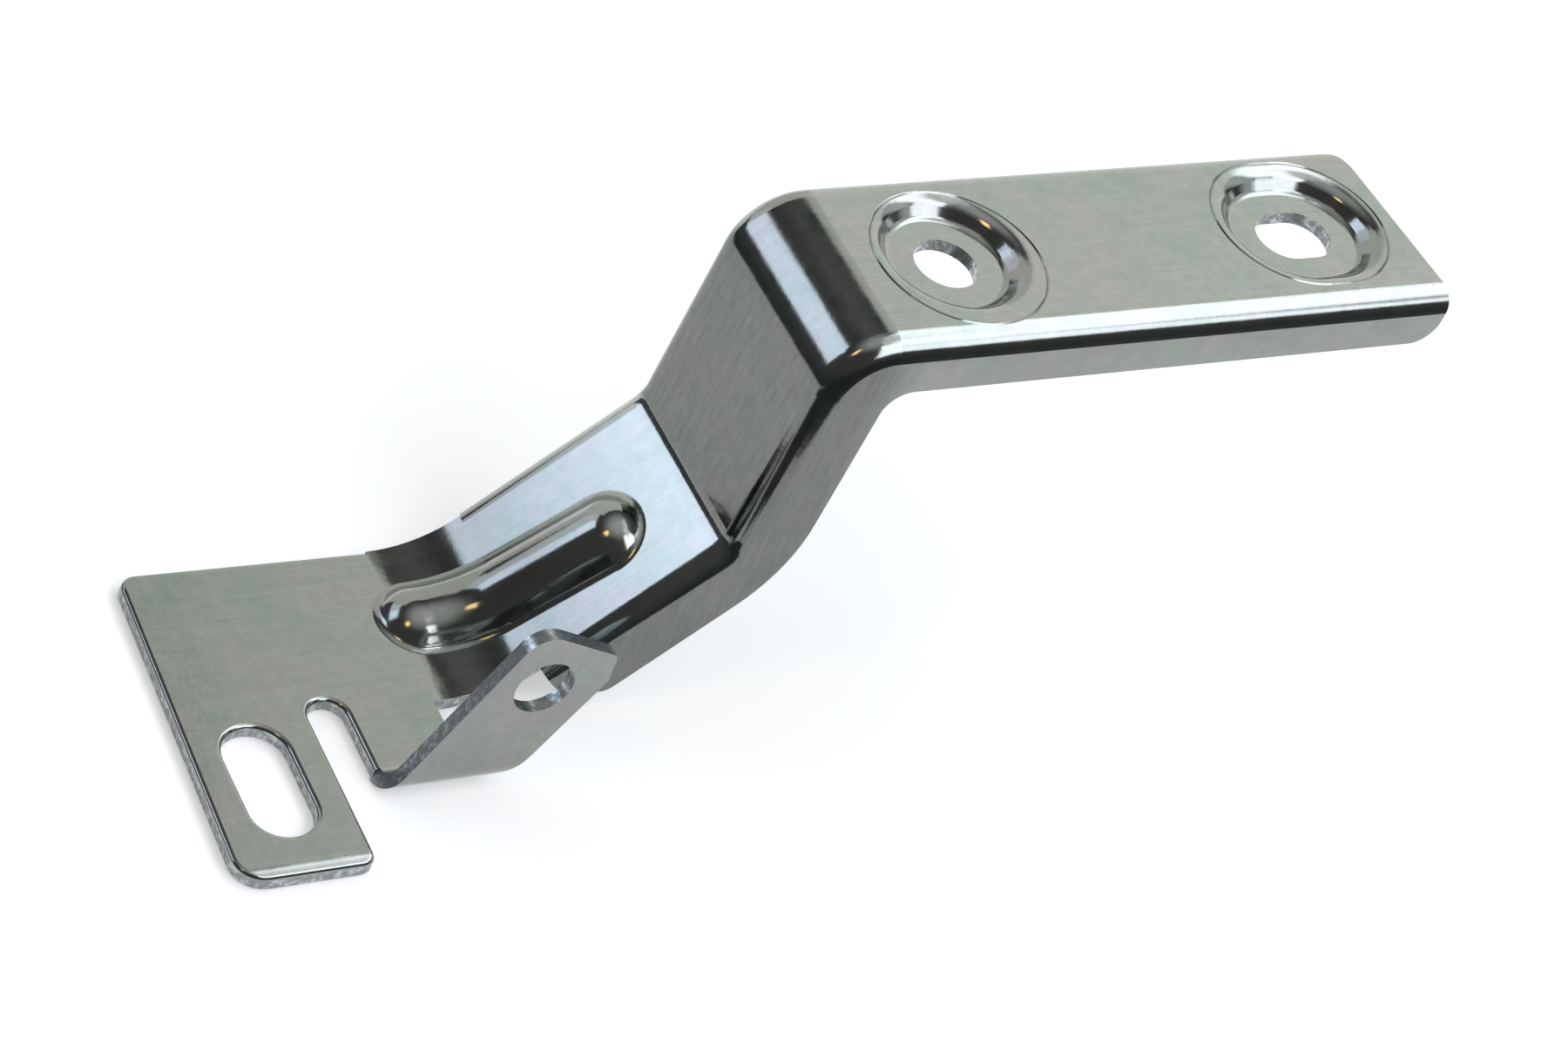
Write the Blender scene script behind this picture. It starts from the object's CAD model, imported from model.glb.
import math

import bpy
from mathutils import Matrix, Vector


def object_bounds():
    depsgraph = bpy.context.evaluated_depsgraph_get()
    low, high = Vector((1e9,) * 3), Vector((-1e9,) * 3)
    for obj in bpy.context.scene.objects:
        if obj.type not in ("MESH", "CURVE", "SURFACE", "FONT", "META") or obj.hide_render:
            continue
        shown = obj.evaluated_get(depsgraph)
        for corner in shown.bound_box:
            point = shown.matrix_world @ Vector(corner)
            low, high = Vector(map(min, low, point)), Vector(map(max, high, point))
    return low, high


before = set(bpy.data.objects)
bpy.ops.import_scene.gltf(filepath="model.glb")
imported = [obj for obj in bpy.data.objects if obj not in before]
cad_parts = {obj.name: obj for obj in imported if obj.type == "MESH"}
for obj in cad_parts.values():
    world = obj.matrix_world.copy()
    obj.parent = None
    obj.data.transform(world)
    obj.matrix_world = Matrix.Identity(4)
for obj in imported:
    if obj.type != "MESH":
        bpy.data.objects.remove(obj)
cad_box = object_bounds()
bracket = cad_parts["bracket"]
MM = 0.001


def srgb(hex_text):
    """The linear RGBA of an sRGB colour written as hex."""
    parts = [int(hex_text[i : i + 2], 16) / 255 for i in (1, 3, 5)]
    return tuple(c / 12.92 if c <= 0.04045 else ((c + 0.055) / 1.055) ** 2.4 for c in parts) + (1.0,)


def node(tree, kind, inputs=None, **settings):
    """Adds a shader node with its settings and links. A socket takes a value, another node's output, or a
    node for its first output."""
    made = tree.nodes.new(kind)
    for name, value in settings.items():
        setattr(made, name, value)
    for key, value in (inputs or {}).items():
        source = value.outputs[0] if isinstance(value, bpy.types.Node) else value
        if isinstance(source, bpy.types.NodeSocket):
            tree.links.new(source, made.inputs[key])
        else:
            made.inputs[key].default_value = source
    return made


def new_material(name):
    """An empty material and its node tree."""
    material = bpy.data.materials.new(name)
    material.use_nodes = True
    material.node_tree.nodes.clear()
    return material, material.node_tree


def places_in_mm(tree):
    """The places on the bracket, in millimetres from the round screw hole's seat."""
    place = node(tree, "ShaderNodeTexCoord").outputs["Object"]
    return node(tree, "ShaderNodeVectorMath", {0: place, "Scale": 1 / MM}, operation="SCALE")


# Where the bracket's forms are, in millimetres from the round screw hole's seat. X runs along the plateau
# and away from the foot, Y towards the far flange, and Z up.
FOOT_NEAR_EDGE = -29.25
NOTCH_LEFT = -61.9
BEND_START = -47.2
WAIST_END = -19.8
EAR_SIDE = -16.5
FLANGE_INSIDE = 10.45
CENTRE_LINE = -0.55
SCREW_HOLES = ((0.0, 0.0), (44.5, 0.0))
SLOT_HALF = 1.3

# Sizes of the plated skin's marks, in millimetres. The orange peel and the rolling lines are drawn several
# times coarser than real ones, which are too fine to show.
FILM_PATCH = 5.5
CLOUD = 1.3
ROLLED_LINE = (14, 0.22, 14)
DRAG_MARK = (0.35, 0.35, 6)
SMEAR = 2.6
SOFT_WAVE = 3.5
WAVE_HEIGHT = 0.02
ORANGE_PEEL = 0.55
PEEL_HEIGHT = 0.006
END_ROLL = 2.6
END_ROLL_DROP = 0.35
END_ROLL_POWER = 3.0

# Most values of a noise texture lie between these two.
NOISE_LOW = 0.3
NOISE_HIGH = 0.7

# Tones of the film along the noise, and how far clouds and rolling lines lighten or darken the skin.
FILM_TONES = ((NOISE_LOW, "#97A099"), (0.5, "#9EA29D"), (NOISE_HIGH, "#A4A09E"))
CLOUD_DEPTH = 0.06
LINE_DEPTH = 0.04
SKIN_SMOOTHEST = 0.09
SKIN_ROUGHEST = 0.15

# How bright the slope is rubbed: the share of the way from the bend's start to the waist's end, and then
# the tone there.
BRIGHTEST_RUB = 1.3
SLOPE_RUB = ((0.0, 1.0), (0.4, 0.84), (0.9, BRIGHTEST_RUB), (1.0, 1.0))

# How level a face is, as the upright part of its normal: 0 for a wall, 0.7 for the slope, 1 for the foot.
# The die dragged fully on what is under WALL and not at all on what is over LEANING.
WALL = 0.25
LEANING = 0.5
BELOW_SLOPE = 0.4
AT_SLOPE = 0.6

# The share of its shine that the die took from a wall, and how much of that holds past the riser (along X,
# in millimetres) and on the ear (along Y).
DRAG_SHALLOW = 0.44
DRAG_DEEP = 0.55
RISER_SIDE = -14
PLATEAU_SIDE = -8
PLATEAU_DRAG = 0.3
EAR_CLEAR_FROM = EAR_SIDE + 0.5
EAR_CLEAR_FULL = EAR_SIDE + 1.5
EAR_DRAG = 0.35


def film_colour(tree, mm):
    """The passivation film: faint patches of green and rose on a cool grey."""
    patch = {"Vector": mm, "Scale": 1 / FILM_PATCH, "Detail": 3.0, "Roughness": 0.55}
    film = node(tree, "ShaderNodeValToRGB", {"Fac": node(tree, "ShaderNodeTexNoise", patch)})
    ramp = film.color_ramp
    for place, _ in FILM_TONES[1:-1]:
        ramp.elements.new(place)
    for stop, (place, tone) in zip(ramp.elements, FILM_TONES):
        stop.position = place
        stop.color = srgb(tone)
    return film


def rolled_tone(tree, mm):
    """Cloudy plating over the faint lines that rolling left along the strip."""
    clouds = {"Vector": mm, "Scale": 1 / CLOUD, "Detail": 4.0, "Roughness": 0.6}
    clouds = {"Value": node(tree, "ShaderNodeTexNoise", clouds)}
    clouds.update({"From Min": NOISE_LOW, "From Max": NOISE_HIGH})
    clouds.update({"To Min": 1 - CLOUD_DEPTH, "To Max": 1 + CLOUD_DEPTH})
    along = node(tree, "ShaderNodeVectorMath", {0: mm, 1: ROLLED_LINE}, operation="DIVIDE")
    lines = {"Vector": along, "Scale": 1.0, "Detail": 2.0}
    lines = {"Value": node(tree, "ShaderNodeTexNoise", lines)}
    lines.update({"From Min": NOISE_LOW, "From Max": NOISE_HIGH})
    lines.update({"To Min": 1 - LINE_DEPTH, "To Max": 1 + LINE_DEPTH})
    both = {0: node(tree, "ShaderNodeMapRange", clouds), 1: node(tree, "ShaderNodeMapRange", lines)}
    return node(tree, "ShaderNodeMath", both, operation="MULTIPLY")


def rubbed_slope(tree, axes, level):
    """The slope is a little dull where it leaves the foot bend, and rubbed brighter towards the riser."""
    reach = {"Value": axes.outputs["X"], "From Min": BEND_START, "From Max": WAIST_END}
    rub = node(tree, "ShaderNodeValToRGB", {"Fac": node(tree, "ShaderNodeMapRange", reach)})
    ramp = rub.color_ramp
    for place, _ in SLOPE_RUB[1:-1]:
        ramp.elements.new(place)
    for stop, (place, tone) in zip(ramp.elements, SLOPE_RUB):
        stop.position = place
        stop.color = (tone / BRIGHTEST_RUB,) * 3 + (1.0,)
    rub = node(tree, "ShaderNodeMath", {0: rub, 1: BRIGHTEST_RUB}, operation="MULTIPLY")
    facing_up = {"Value": level, "From Min": BELOW_SLOPE, "From Max": AT_SLOPE}
    # Sockets 2 and 3 hold the two values of a mix.
    return node(tree, "ShaderNodeMix", {0: node(tree, "ShaderNodeMapRange", facing_up), 2: 1.0, 3: rub})


def dragged_tone(tree, mm, axes, level):
    """The die dragged on the riser and on the flanges before the plateau and took about half of their
    shine, and far less of the ear's and of the plateau's flanges'."""
    upright = {"Value": level, "From Min": WALL, "From Max": LEANING, "To Min": 1.0, "To Max": 0.0}
    before_plateau = {"Value": axes.outputs["X"], "From Min": RISER_SIDE, "From Max": PLATEAU_SIDE}
    before_plateau.update({"To Min": 1.0, "To Max": PLATEAU_DRAG})
    clear_of_ear = {"Value": axes.outputs["Y"], "From Min": EAR_CLEAR_FROM, "From Max": EAR_CLEAR_FULL}
    clear_of_ear["To Min"] = EAR_DRAG
    where = node(tree, "ShaderNodeMapRange", upright, interpolation_type="SMOOTHSTEP")
    for limit in (before_plateau, clear_of_ear):
        limit = node(tree, "ShaderNodeMapRange", limit, interpolation_type="SMOOTHSTEP")
        where = node(tree, "ShaderNodeMath", {0: where, 1: limit}, operation="MULTIPLY")
    along = node(tree, "ShaderNodeVectorMath", {0: mm, 1: DRAG_MARK}, operation="DIVIDE")
    marks = {"Value": node(tree, "ShaderNodeTexNoise", {"Vector": along, "Scale": 1.0, "Detail": 3.0})}
    marks.update({"From Min": NOISE_LOW, "From Max": NOISE_HIGH})
    marks.update({"To Min": DRAG_DEEP, "To Max": DRAG_SHALLOW})
    drag = {0: where, 1: node(tree, "ShaderNodeMapRange", marks)}
    drag = node(tree, "ShaderNodeMath", drag, operation="MULTIPLY")
    return node(tree, "ShaderNodeMath", {0: 1.0, 1: drag}, operation="SUBTRACT")


def skin_relief(tree, mm, axes):
    """The near end of the foot's tab rolled down where it was sheared, under soft waves and orange peel."""
    from_end = {"Value": axes.outputs["Y"], "From Min": FOOT_NEAR_EDGE}
    from_end.update({"From Max": FOOT_NEAR_EDGE + END_ROLL, "To Min": 1.0, "To Max": 0.0})
    from_end = node(tree, "ShaderNodeMapRange", from_end)
    roll = node(tree, "ShaderNodeMath", {0: from_end, 1: END_ROLL_POWER}, operation="POWER")
    on_tab = node(tree, "ShaderNodeMath", {0: axes.outputs["X"], 1: NOTCH_LEFT}, operation="LESS_THAN")
    roll = node(tree, "ShaderNodeMath", {0: roll, 1: on_tab}, operation="MULTIPLY")
    wave = node(tree, "ShaderNodeTexNoise", {"Vector": mm, "Scale": 1 / SOFT_WAVE, "Detail": 1.0})
    peel = {"Vector": mm, "Scale": 1 / ORANGE_PEEL, "Detail": 3.0, "Roughness": 0.55}
    peel = node(tree, "ShaderNodeTexNoise", peel)
    relief = node(tree, "ShaderNodeBump", {"Height": roll, "Distance": END_ROLL_DROP * MM}, invert=True)
    for height, distance in ((wave, WAVE_HEIGHT), (peel, PEEL_HEIGHT)):
        relief = {"Height": height, "Distance": distance * MM, "Normal": relief}
        relief = node(tree, "ShaderNodeBump", relief)
    return relief


def bright_zinc_plated_steel():
    """Bright zinc over cold-rolled sheet: a cool grey near-mirror with a faint green and rose film, a
    little orange peel, and duller skin where the die dragged."""
    material, tree = new_material("bright_zinc_plated_steel")
    mm = places_in_mm(tree)
    axes = node(tree, "ShaderNodeSeparateXYZ", {0: mm})
    normal = node(tree, "ShaderNodeNewGeometry").outputs["Normal"]
    turn = node(tree, "ShaderNodeSeparateXYZ", {0: normal})
    level = node(tree, "ShaderNodeMath", {0: turn.outputs["Z"]}, operation="ABSOLUTE")
    tone = rolled_tone(tree, mm)
    for other in (rubbed_slope(tree, axes, level), dragged_tone(tree, mm, axes, level)):
        tone = node(tree, "ShaderNodeMath", {0: tone, 1: other}, operation="MULTIPLY")
    colour = {0: film_colour(tree, mm), "Scale": tone}
    colour = node(tree, "ShaderNodeVectorMath", colour, operation="SCALE")
    smears = node(tree, "ShaderNodeTexNoise", {"Vector": mm, "Scale": 1 / SMEAR, "Detail": 3.0})
    rough = {"Value": smears, "From Min": NOISE_LOW, "From Max": NOISE_HIGH}
    rough.update({"To Min": SKIN_SMOOTHEST, "To Max": SKIN_ROUGHEST})
    skin = {"Base Color": colour, "Metallic": 1.0, "Normal": skin_relief(tree, mm, axes)}
    skin["Roughness"] = node(tree, "ShaderNodeMapRange", rough)
    node(tree, "ShaderNodeOutputMaterial", {"Surface": node(tree, "ShaderNodeBsdfPrincipled", skin)})
    return material


# Sizes on the cut edges, in millimetres.
TORN_BIT = 0.7
TEAR_HEIGHT = 0.03
SCORE_LINE = (0.16, 0.16, 1.2)
SCORE_HEIGHT = 0.008

# Tones and roughness of the cut edges along the noise, from the torn bits to the burnished ones.
EDGE_ZINC = "#ABAFB0"
TORN_UP_TO = 0.47
BURNISHED_FROM = 0.6
TORN_TONE = 0.66
BURNISHED_TONE = 1.25
ROUGHEST_AT = 0.35
SMOOTHEST_AT = 0.65
TORN_ROUGHNESS = 0.4
BURNISHED_ROUGHNESS = 0.22


def blanked_edge():
    """The cut face of the sheet, plated over: partly burnished by the punch and partly torn, with score
    lines that run up and down, so it is duller than the skin and catches the light in broken bits."""
    material, tree = new_material("blanked_edge")
    mm = places_in_mm(tree)
    bits = {"Vector": mm, "Scale": 1 / TORN_BIT, "Detail": 4.0, "Roughness": 0.65}
    bits = node(tree, "ShaderNodeTexNoise", bits)
    tone = {"Value": bits, "From Min": TORN_UP_TO, "From Max": BURNISHED_FROM}
    tone.update({"To Min": TORN_TONE, "To Max": BURNISHED_TONE})
    tone = node(tree, "ShaderNodeMapRange", tone)
    zinc = srgb(EDGE_ZINC)[:3]
    colour = node(tree, "ShaderNodeVectorMath", {0: zinc, "Scale": tone}, operation="SCALE")
    rough = {"Value": bits, "From Min": ROUGHEST_AT, "From Max": SMOOTHEST_AT}
    rough.update({"To Min": TORN_ROUGHNESS, "To Max": BURNISHED_ROUGHNESS})
    along = node(tree, "ShaderNodeVectorMath", {0: mm, 1: SCORE_LINE}, operation="DIVIDE")
    score = node(tree, "ShaderNodeTexNoise", {"Vector": along, "Scale": 1.0, "Detail": 2.0})
    relief = node(tree, "ShaderNodeBump", {"Height": bits, "Distance": TEAR_HEIGHT * MM})
    relief = {"Height": score, "Distance": SCORE_HEIGHT * MM, "Normal": relief}
    relief = node(tree, "ShaderNodeBump", relief)
    edge = {"Base Color": colour, "Metallic": 1.0, "Normal": relief}
    edge["Roughness"] = node(tree, "ShaderNodeMapRange", rough)
    node(tree, "ShaderNodeOutputMaterial", {"Surface": node(tree, "ShaderNodeBsdfPrincipled", edge)})
    return material


# Where the cut faces lie, in millimetres from the round screw hole's seat.
FOOT_SIDES_END = -47.3
FOOT_SIDES_TOP = -47.0
EAR_BEND_LEFT = -57.2
EAR_LEFT = -60.2
EAR_BEND_TOP = -43.7
FOOT_BEND_END = -37.0
FOOT_BEND_TOP = -40.7
FOOT_BEND_HALF = 11.45
LAST_OF_PLATEAU = 55.5
HOLE_WALL_REACH = 4.2
BELOW_DISHES = -3

# A part of a face's normal under the first is turned away from that axis, and over the second is along it.
TURNED_AWAY = 0.3
SQUARE_ON = 0.9


def is_cut_face(place, normal):
    """Whether this face of the mesh is the sheet's thickness rather than its skin."""
    x, y, z = place
    across = abs(y - CENTRE_LINE)
    upright = abs(normal.z) < TURNED_AWAY
    endwise = abs(normal.y) < TURNED_AWAY
    if x < FOOT_SIDES_END and z < FOOT_SIDES_TOP and upright:
        return y > EAR_SIDE or x < EAR_BEND_LEFT
    if y < EAR_SIDE and x > EAR_LEFT:
        return endwise and (z > EAR_BEND_TOP or abs(normal.x) > TURNED_AWAY)
    if x < FOOT_BEND_END and z < FOOT_BEND_TOP:
        return abs(normal.y) > SQUARE_ON and across < FOOT_BEND_HALF
    if across > FLANGE_INSIDE and endwise:
        return True
    if x > LAST_OF_PLATEAU and normal.x > SQUARE_ON:
        return True
    from_hole = min(math.hypot(max(abs(x - hx) - SLOT_HALF, 0), y - hy) for hx, hy in SCREW_HOLES)
    return from_hole < HOLE_WALL_REACH and upright and z > BELOW_DISHES


def dress_bracket():
    """Plated skin on the faces, blanked finish on the cut edges."""
    mesh = bracket.data
    mesh.materials.clear()
    mesh.materials.append(bright_zinc_plated_steel())
    mesh.materials.append(blanked_edge())
    for face in mesh.polygons:
        face.material_index = int(is_cut_face(face.center / MM, face.normal))


# The camera's own right, down and ahead, its place and its lens in millimetres, and what it sees from and
# to, in metres.
CAMERA_RIGHT = Vector((0.8452129, -0.4214809, 0.3285864))
CAMERA_DOWN = Vector((-0.0964541, -0.7250439, -0.6819149))
CAMERA_AHEAD = Vector((0.5256537, 0.5446698, -0.6534700))
CAMERA_PLACE = Vector((-258.550, -263.057, 278.018))
SENSOR_WIDTH = 36.0
LENS = 105.07
NEAREST_SEEN = 0.01
FARTHEST_SEEN = 10.0


def set_camera():
    """Looks down on the foot and ear from the foot's end, rolled a little to the left."""
    data = bpy.data.cameras.new("camera")
    data.sensor_width = SENSOR_WIDTH
    data.lens = LENS
    data.clip_start = NEAREST_SEEN
    data.clip_end = FARTHEST_SEEN
    camera = bpy.data.objects.new("camera", data)
    turn = Matrix((CAMERA_RIGHT, -CAMERA_DOWN, -CAMERA_AHEAD)).transposed()
    camera.matrix_world = Matrix.Translation(CAMERA_PLACE * MM) @ turn.to_4x4()
    bpy.context.scene.collection.objects.link(camera)
    bpy.context.scene.camera = camera


def sheet_of(name, corners):
    """A flat four-cornered object through the corners, given in metres."""
    mesh = bpy.data.meshes.new(name)
    mesh.from_pydata(corners, [], [(0, 1, 2, 3)])
    made = bpy.data.objects.new(name, mesh)
    bpy.context.scene.collection.objects.link(made)
    return made


# The table reaches this far each way and lies this far under the foot, in metres. It is matt white, and it
# glows by FLOOR_LIFT where the camera or a reflection sees it, so that it shows white round a soft shadow.
TABLE_WHITE = "#F4F4F4"
FLOOR_REACH = 3.0
FLOOR_GAP = 0.0002
FLOOR_LIFT = 0.34


def set_floor():
    """A plain white table under the foot."""
    z = cad_box[0].z - FLOOR_GAP
    sides = ((-1, -1), (1, -1), (1, 1), (-1, 1))
    floor = sheet_of("floor", [(x * FLOOR_REACH, y * FLOOR_REACH, z) for x, y in sides])
    material, tree = new_material("white_table")
    matt = node(tree, "ShaderNodeBsdfDiffuse", {"Color": srgb(TABLE_WHITE)})
    path = node(tree, "ShaderNodeLightPath")
    seen = {0: path.outputs["Is Camera Ray"], 1: path.outputs["Is Glossy Ray"]}
    seen = node(tree, "ShaderNodeMath", seen, operation="ADD", use_clamp=True)
    lift = node(tree, "ShaderNodeMath", {0: seen, 1: FLOOR_LIFT}, operation="MULTIPLY")
    glow = node(tree, "ShaderNodeEmission", {"Strength": lift})
    both = node(tree, "ShaderNodeAddShader", {0: matt, 1: glow})
    node(tree, "ShaderNodeOutputMaterial", {"Surface": both})
    floor.data.materials.append(material)


# Dark cards that only reflections see, in millimetres from the round screw hole's seat. An upright card has
# the two ends of its foot line and the heights of its lower and upper sides.
CARD_GREY = "#56585A"
UPRIGHT_CARDS = (
    ("card_behind_riser", (-190, 20), (-90, 160), -48, 2),
    ("card_along_plateau", (-150, -105), (220, -105), -48, 4),
    ("card_left_of_foot", (-150, -105), (-190, 20), -48, 3),
)
# A card that lies on the table has two opposite corners and its height.
FLAT_CARDS = (
    ("card_left_of_ear", (-150, -105), (-43, -36), -48),
    ("card_before_ear", (-43, -105), (-36, -45), -48),
    ("card_right_of_ear", (-36, -105), (160, -60), -48),
)


def set_dark_cards():
    """Dark gaps low round the part, which draw the dark lines along its bends."""
    material, tree = new_material("black_card")
    matt = node(tree, "ShaderNodeBsdfDiffuse", {"Color": srgb(CARD_GREY)})
    node(tree, "ShaderNodeOutputMaterial", {"Surface": matt})
    cards = []
    for name, (x1, y1), (x2, y2), low, high in UPRIGHT_CARDS:
        corners = ((x1, y1, low), (x2, y2, low), (x2, y2, high), (x1, y1, high))
        cards.append(sheet_of(name, [Vector(c) * MM for c in corners]))
    for name, (x1, y1), (x2, y2), level in FLAT_CARDS:
        corners = ((x1, y1, level), (x2, y1, level), (x2, y2, level), (x1, y2, level))
        cards.append(sheet_of(name, [Vector(c) * MM for c in corners]))
    for card in cards:
        card.data.materials.append(material)
        card.visible_camera = False
        card.visible_diffuse = False
        card.visible_shadow = False


def between(tree, value, low, high, soft):
    """1 where the value lies from low to high, falling softly to 0 outside."""
    rise = {"Value": value, "From Min": low - soft, "From Max": low + soft}
    fall = {"Value": value, "From Min": high - soft, "From Max": high + soft}
    fall.update({"To Min": 1.0, "To Max": 0.0})
    rise = node(tree, "ShaderNodeMapRange", rise, interpolation_type="SMOOTHSTEP")
    fall = node(tree, "ShaderNodeMapRange", fall, interpolation_type="SMOOTHSTEP")
    return node(tree, "ShaderNodeMath", {0: rise, 1: fall}, operation="MULTIPLY")


# Softboxes of the light tent: bearing from and to, height from and to (degrees, bearing 0 along +X and
# 90 along +Y), how soft the border is, brightness and colour. A later one lies over the earlier ones.
SOFTBOXES = (
    (10, 112, -8, 46.5, 2, 0.86, "#F3F7F1"),
    (10, 60, -8, 41, 4, 1.22, "#F3F7F1"),
    (26, 55, 40, 55, 2.5, 0.96, "#F3F7F1"),
    (112, 131, 9, 39.5, 2, 1.2, "#E6EEF8"),
    (131, 152, 9, 39.5, 2, 2.15, "#DDEAFF"),
    (-38, 10, 16, 40, 6, 0.95, "#EEF2F4"),
    (-84, 39, 40, 64, 4, 3.2, "#F1F6FF"),
    (-84, -40, 20, 42, 4, 2.9, "#F1F6FF"),
    (-70, 40, 60, 80, 8, 1.3, "#F4F6F8"),
    (-176, -160, 50, 60, 2, 3.2, "#FFD79A"),
)
# Round the boxes the tent is dark, and it lightens overhead between these two heights, in degrees.
TENT_DARK = 0.08
TENT_TOP = 0.6
TENT_TOP_FROM = 48
TENT_TOP_FULL = 80


def set_light():
    """A light tent: large soft white panels with dark gaps between them."""
    world = bpy.data.worlds.new("light_tent")
    world.use_nodes = True
    tree = world.node_tree
    tree.nodes.clear()
    where = node(tree, "ShaderNodeTexCoord").outputs["Generated"]
    axes = node(tree, "ShaderNodeSeparateXYZ", {0: where})
    bearing = {0: axes.outputs["Y"], 1: axes.outputs["X"]}
    bearing = node(tree, "ShaderNodeMath", bearing, operation="ARCTAN2")
    height = node(tree, "ShaderNodeMath", {0: axes.outputs["Z"]}, operation="ARCSINE")
    top = {"Value": height, "To Min": TENT_DARK, "To Max": TENT_TOP}
    top.update({"From Min": math.radians(TENT_TOP_FROM), "From Max": math.radians(TENT_TOP_FULL)})
    colour = node(tree, "ShaderNodeMapRange", top, interpolation_type="SMOOTHSTEP").outputs[0]
    for left, right, low, high, soft, strength, tint in SOFTBOXES:
        border = math.radians(soft)
        across = between(tree, bearing, math.radians(left), math.radians(right), border)
        up = between(tree, height, math.radians(low), math.radians(high), border)
        share = node(tree, "ShaderNodeMath", {0: across, 1: up}, operation="MULTIPLY")
        glow = tuple(c * strength for c in srgb(tint)[:3]) + (1.0,)
        # Sockets 6 and 7 hold the two colours of a mix, and output 2 gives the mixed one.
        colour = node(tree, "ShaderNodeMix", {0: share, 6: colour, 7: glow}, data_type="RGBA").outputs[2]
    back = node(tree, "ShaderNodeBackground", {"Color": colour})
    node(tree, "ShaderNodeOutputWorld", {"Surface": back})
    bpy.context.scene.world = world


dress_bracket()
set_camera()
set_floor()
set_dark_cards()
set_light()
bpy.context.scene.view_settings.view_transform = "Standard"
